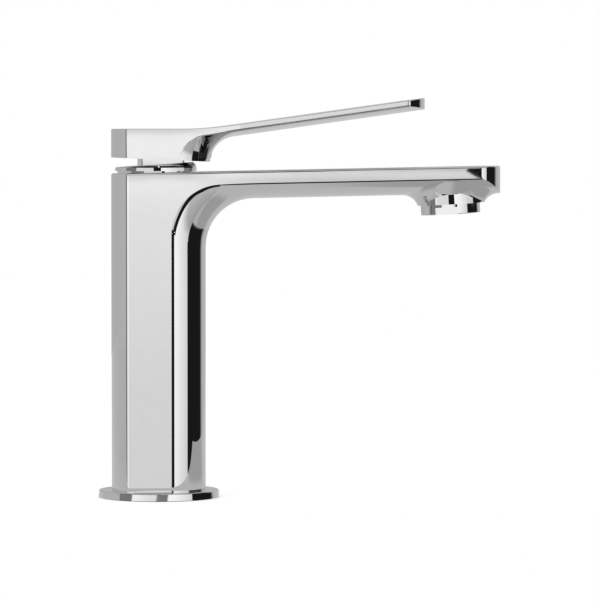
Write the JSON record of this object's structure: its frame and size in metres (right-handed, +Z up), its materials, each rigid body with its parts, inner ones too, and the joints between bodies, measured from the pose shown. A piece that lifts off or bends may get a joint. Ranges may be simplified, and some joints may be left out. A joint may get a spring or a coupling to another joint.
{
  "type": "bathroom mixer faucet",
  "caption": "Deck-mounted basin mixer with an upright column, a flat forward spout, a tilted aerator and a flat lever that lifts for flow and turns for heat.",
  "frame": {"origin": "centre of the base flange, on the deck that the faucet stands on", "axes": "+X forward along the spout, +Y to the left of a user facing the spout's tip from behind, +Z up"},
  "size_m": [0.1692, 0.0504, 0.1667],
  "materials": {
    "chrome": "polished chrome plate",
    "brass": "machined",
    "steel": "stainless",
    "rubber": "moulded",
    "ceramic": "lapped",
    "cartridge_plastic": "moulded",
    "grey_plastic": "moulded"
  },
  "bodies": {
    "faucet_body": {"body_casting": "chrome", "base_flange": "chrome", "deck_gasket": "rubber", "inlet_seals": "rubber", "cartridge_base": "cartridge_plastic", "disc_seals": "rubber", "fixed_disc": "ceramic", "cartridge_housing": "cartridge_plastic", "cartridge_o_ring": "rubber", "retaining_nut": "brass", "stop_ring": "cartridge_plastic", "cap_ring": "chrome", "cap": "chrome", "cap_o_ring": "rubber", "aerator_housing": "chrome", "aerator_gasket": "rubber", "aerator_screen": "steel", "flow_limiter": "grey_plastic", "jet_body": "grey_plastic", "outlet_grid": "grey_plastic"},
    "rotor": {"rotor": "cartridge_plastic", "pivot_pin": "steel"},
    "lever": {"stem": "brass", "stem_adapter": "grey_plastic", "handle": "chrome", "handle_screw": "steel", "screw_plug": "grey_plastic"},
    "disc_slider": {"moving_disc": "ceramic", "disc_carrier": "cartridge_plastic"}
  },
  "joints": [
    {"name": "mix_turn", "type": "hinge", "parent": "faucet_body", "child": "rotor", "pos_m": [0.00095, 0, 0.119], "axis": [0, 0, 1], "range_deg": [-45, 45]},
    {"name": "lever_lift", "type": "hinge", "parent": "rotor", "child": "lever", "pos_m": [0.00095, 0, 0.119], "axis": [0, -1, 0], "range_deg": [0, 11]},
    {"name": "disc_slide", "type": "slide", "parent": "rotor", "child": "disc_slider", "axis": [1, 0, 0], "range_m": [0, 0.00157]}
  ],
  "couplings": [
    {"joint": "disc_slide", "follows": "lever_lift", "m_per_rad": 0.0081874}
  ]
}
